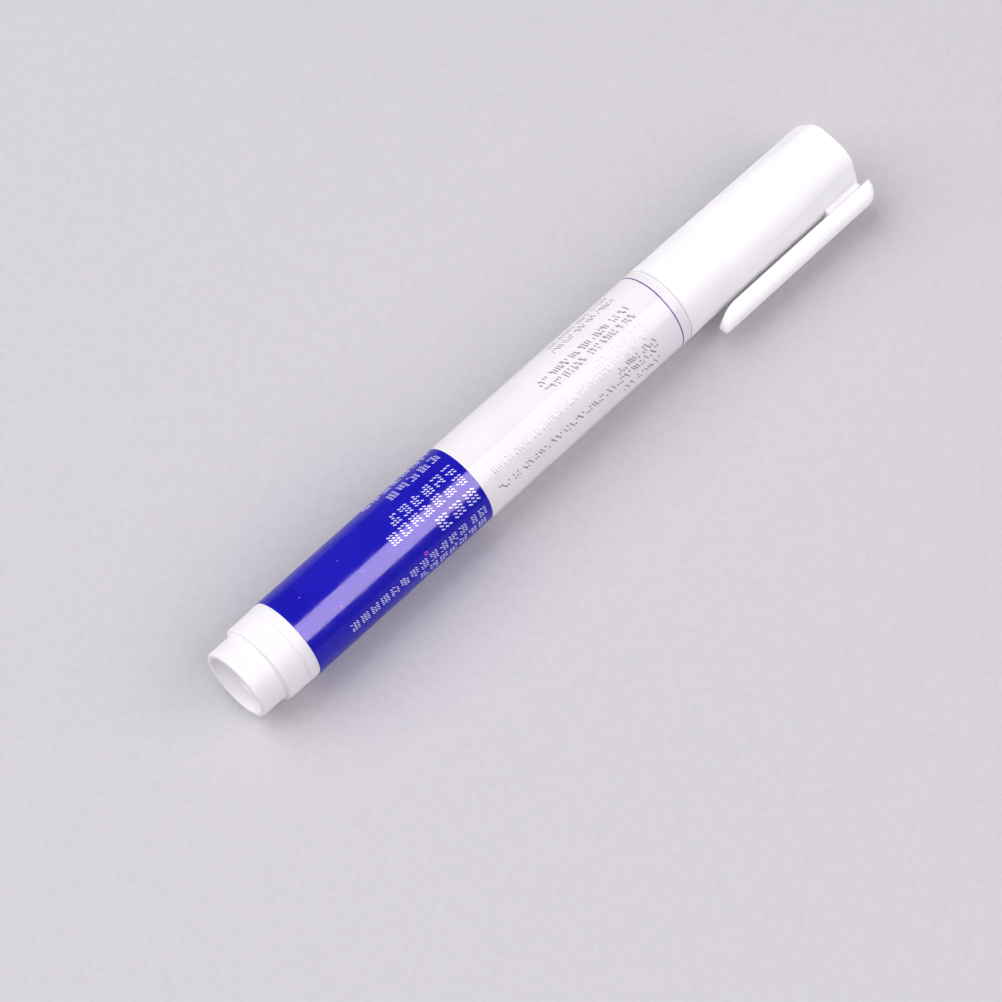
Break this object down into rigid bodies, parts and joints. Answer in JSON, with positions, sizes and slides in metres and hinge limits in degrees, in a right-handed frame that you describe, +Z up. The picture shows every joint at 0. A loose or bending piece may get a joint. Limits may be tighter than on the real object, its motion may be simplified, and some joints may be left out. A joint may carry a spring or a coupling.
{
  "type": "valve-action fluid pen",
  "caption": "Capped round plastic pen that holds a liquid, with a wrapped label, a tail plug, a spring valve behind a pressable fibre nib, and a cap with a pocket clip.",
  "frame": {"origin": "centre of the open tail end, on the pen's axis", "axes": "+X along the pen from the tail end to the cap's closed end, +Z up with the pen lying on its side, and the pocket clip on the -Y side 9 degrees below level"},
  "size_m": [0.1395, 0.0186, 0.015],
  "materials": {
    "white_plastic": "satin white moulded plastic",
    "label_film": "glossy printed film, blue at the tail half and white at the cap half",
    "natural_plastic": "unpigmented moulded plastic",
    "seal_rubber": "black rubber",
    "spring_wire": "drawn stainless wire",
    "nib_fibre": "pressed polyester fibre",
    "liquid": "clear amber liquid"
  },
  "bodies": {
    "pen_body": {"barrel": "white_plastic", "label_wrap": "label_film", "tail_plug": "white_plastic", "liquid_fill": "liquid", "nib_holder": "natural_plastic", "holder_o_ring": "seal_rubber", "valve_housing": "natural_plastic", "valve_seat": "seal_rubber", "valve_spring": "spring_wire"},
    "nib_and_stem": {"nib": "nib_fibre", "valve_stem": "natural_plastic"},
    "cap": {"cap_shell": "white_plastic", "cap_liner": "natural_plastic"},
    "clip": {"pocket_clip": "white_plastic"}
  },
  "joints": [
    {"name": "cap_pull", "type": "slide", "parent": "pen_body", "child": "cap", "axis": [1, 0, 0], "range_m": [0, 0.05]},
    {"name": "nib_press", "type": "slide", "parent": "pen_body", "child": "nib_and_stem", "axis": [-1, 0, 0], "range_m": [0, 0.0018], "stiffness_N_per_m": 800, "deforming": ["valve_spring"]},
    {"name": "clip_flex", "type": "hinge", "parent": "cap", "child": "clip", "pos_m": [0.1375, -0.0081, -0.00128], "axis": [0, -0.1564, 0.9877], "range_deg": [0, 3.5], "stiffness_Nm_per_rad": 3}
  ]
}
